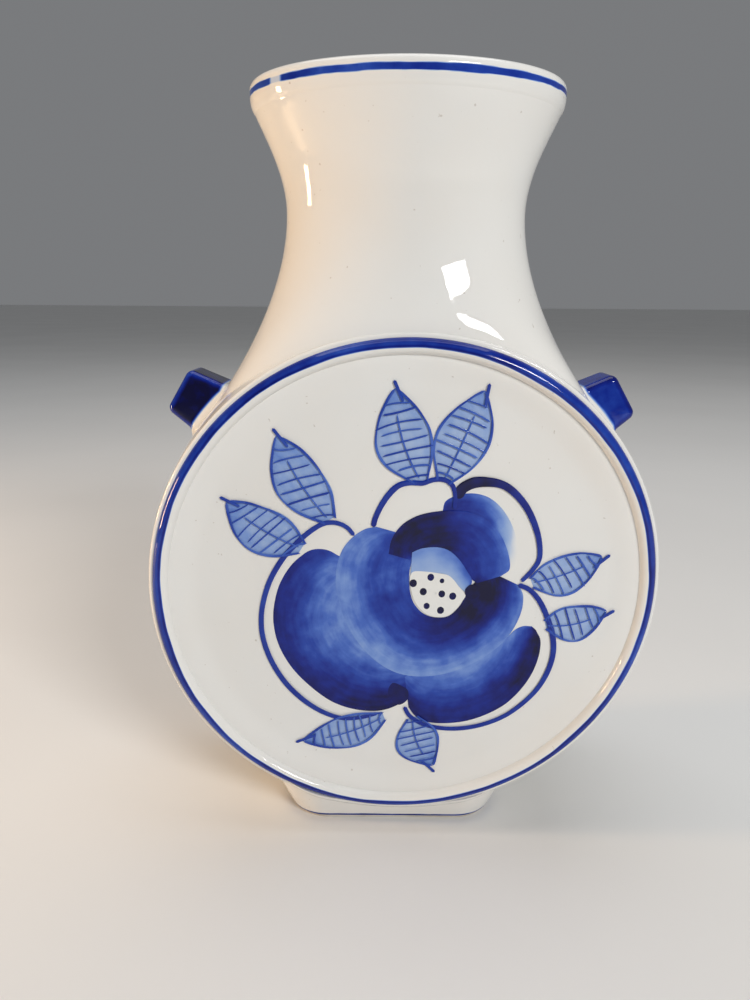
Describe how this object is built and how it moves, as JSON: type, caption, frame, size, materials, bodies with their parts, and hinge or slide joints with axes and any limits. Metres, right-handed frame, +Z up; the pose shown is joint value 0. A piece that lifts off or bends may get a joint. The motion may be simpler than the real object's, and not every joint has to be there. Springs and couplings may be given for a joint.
{
  "type": "porcelain vase",
  "caption": "Glazed porcelain moon-flask vase: a flat round drum on a low foot, an oval flared neck, solid shoulder lugs and a raised bead round each painted face.",
  "frame": {"origin": "centre of the face that the vase stands on, straight below the axis of the neck", "axes": "+Z up along the neck, painted front face towards -Y, +X to the right as the front is seen"},
  "size_m": [0.172, 0.073, 0.25],
  "materials": {
    "porcelain": "clear glossy glaze on white porcelain",
    "painted_face": "clear glossy glaze over cobalt brushwork",
    "cobalt_bead": "glossy glaze over a brushed cobalt line",
    "cobalt_lug": "glossy glaze over solid dark cobalt",
    "bare_clay": "bare matt clay, wiped clean of glaze"
  },
  "bodies": {
    "root": {"side_wall": "porcelain", "front_face": "painted_face", "back_face": "porcelain", "front_bead": "cobalt_bead", "back_bead": "cobalt_bead", "neck": "porcelain", "lip": "porcelain", "lug_left": "cobalt_lug", "lug_right": "cobalt_lug", "foot": "porcelain", "stand_ring": "bare_clay"}
  },
  "joints": []
}
